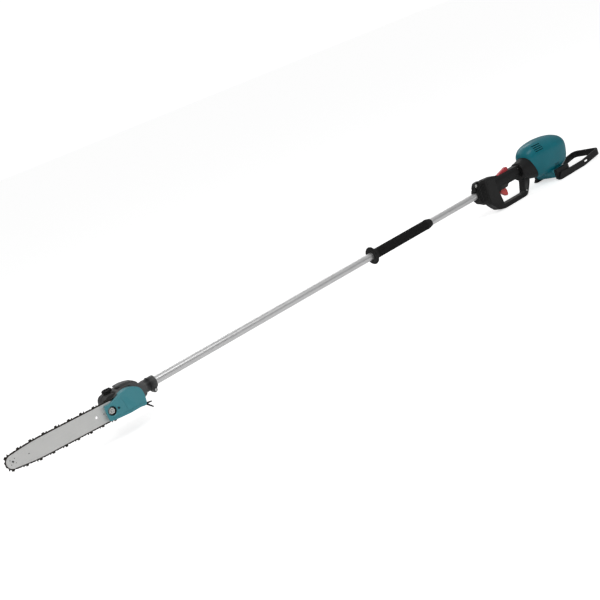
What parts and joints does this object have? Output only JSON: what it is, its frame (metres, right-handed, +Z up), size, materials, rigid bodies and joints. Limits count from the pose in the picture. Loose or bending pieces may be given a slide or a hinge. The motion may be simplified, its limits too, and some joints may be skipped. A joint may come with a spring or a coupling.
{
  "type": "pole saw",
  "caption": "Motor-driven pole saw: guide bar and chain on a right-angle gear case, long aluminium tube, front grip, D-shaped trigger handle, rear motor housing and open battery guard.",
  "frame": {"origin": "middle of the bounding box in X and Y, at the lowest point", "axes": "+X along the tube from the saw head to the motor, +Z up, so the guide bar stands on the -Y side"},
  "size_m": [2.5758, 0.128, 0.175],
  "materials": {
    "teal_plastic": "smooth moulded",
    "black_plastic": "fine moulded grain",
    "case_casting": "black powder coat on a light casting",
    "black_rubber": "ribbed, matt",
    "red_plastic": "smooth moulded",
    "tube_aluminium": "satin drawn",
    "bar_steel": "ground lengthwise",
    "chain_steel": "oiled, blued",
    "plain_steel": "zinc plated",
    "dark_steel": "hardened, dark",
    "copper_winding": "lacquered wire",
    "clear_window": "smoky clear plastic",
    "circuit_board": "lacquered board"
  },
  "bodies": {
    "saw": {"sprocket_bearing_left": "plain_steel", "sprocket_bearing_right": "plain_steel", "pinion_bearing": "plain_steel", "gear_case": "case_casting", "gear_case_lid": "black_plastic", "oil_pump": "dark_steel", "neck_clamp_bolt": "plain_steel", "bar_stud": "plain_steel", "sprocket_cover": "teal_plastic", "branch_hook": "black_plastic", "oil_tank": "black_plastic", "oil_window": "clear_window", "pole_tube": "tube_aluminium", "shaft_bush_1": "black_plastic", "shaft_bush_2": "black_plastic", "shaft_bush_3": "black_plastic", "shaft_bush_4": "black_plastic", "front_grip": "black_rubber", "handle_left": "black_plastic", "handle_right": "black_plastic", "handle_screw_1": "plain_steel", "handle_screw_2": "plain_steel", "front_boot": "black_rubber", "hanger_bracket": "black_plastic", "hanger_eyelet": "plain_steel", "trigger_pin": "plain_steel", "trigger_spring": "plain_steel", "lever_pin": "plain_steel", "lever_spring": "plain_steel", "main_switch": "black_plastic", "motor_bell": "black_plastic", "motor_bearing_front": "plain_steel", "housing_left": "teal_plastic", "housing_right": "teal_plastic", "motor_stator": "copper_winding", "motor_bearing_rear": "plain_steel", "control_board": "circuit_board", "battery_plate": "black_plastic", "terminal_block": "black_plastic", "rear_guard": "black_plastic", "guard_arm_left": "black_plastic", "guard_arm_right": "black_plastic"},
    "rotor_line": {"motor_rotor": "dark_steel", "cooling_fan": "black_plastic", "shaft_coupling": "dark_steel", "drive_shaft": "plain_steel", "bevel_pinion": "plain_steel"},
    "sprocket_line": {"bevel_gear": "plain_steel", "sprocket_shaft": "plain_steel", "drive_sprocket": "dark_steel"},
    "bar_and_chain": {"guide_bar": "bar_steel", "saw_chain": "chain_steel", "nose_rivet": "dark_steel"},
    "nose_wheel": {"nose_sprocket": "plain_steel"},
    "tension_adjuster": {"tension_screw": "plain_steel"},
    "cover_nut": {"bar_nut": "plain_steel"},
    "tank_cap": {"oil_cap": "black_plastic"},
    "trigger_blade": {"trigger": "red_plastic"},
    "lockout": {"lock_lever": "red_plastic"}
  },
  "joints": [
    {"name": "motor_spin", "type": "hinge", "parent": "saw", "child": "rotor_line", "pos_m": [-0.90209, 0, 0.094], "axis": [1, 0, 0], "continuous": true},
    {"name": "sprocket_spin", "type": "hinge", "parent": "saw", "child": "sprocket_line", "pos_m": [-0.90209, 0, 0.094], "axis": [0, 1, 0], "continuous": true},
    {"name": "bar_tension", "type": "slide", "parent": "saw", "child": "bar_and_chain", "axis": [0.9992, 0, -0.0401], "range_m": [0, 0.004]},
    {"name": "nose_sprocket_spin", "type": "hinge", "parent": "bar_and_chain", "child": "nose_wheel", "pos_m": [-1.26453, -0.036, 0.10525], "axis": [0, 1, 0], "continuous": true},
    {"name": "tension_screw_turn", "type": "hinge", "parent": "saw", "child": "tension_adjuster", "pos_m": [-0.94808, -0.028, 0.09255], "axis": [0, 1, 0], "range_deg": [0, 1440]},
    {"name": "bar_nut_turn", "type": "hinge", "parent": "saw", "child": "cover_nut", "pos_m": [-0.96817, -0.045, 0.09335], "axis": [0, 1, 0], "range_deg": [0, 720]},
    {"name": "oil_cap_turn", "type": "hinge", "parent": "saw", "child": "tank_cap", "pos_m": [-0.93709, 0.012, 0.132], "axis": [0, 0, 1], "range_deg": [0, 450]},
    {"name": "trigger_pull", "type": "hinge", "parent": "saw", "child": "trigger_blade", "pos_m": [0.77591, 0, 0.075], "axis": [0, -1, 0], "range_deg": [0, 12], "stiffness_Nm_per_rad": 0.5, "springref_deg": -8.59},
    {"name": "lock_lever_press", "type": "hinge", "parent": "saw", "child": "lockout", "pos_m": [0.77691, 0, 0.115], "axis": [0, 1, 0], "range_deg": [0, 8], "stiffness_Nm_per_rad": 0.4, "springref_deg": -11.46}
  ],
  "couplings": [
    {"joint": "sprocket_spin", "follows": "motor_spin", "ratio": -0.6},
    {"joint": "nose_sprocket_spin", "follows": "motor_spin", "ratio": -0.51429},
    {"joint": "tension_screw_turn", "follows": "bar_tension", "rad_per_m": 6283.2}
  ]
}
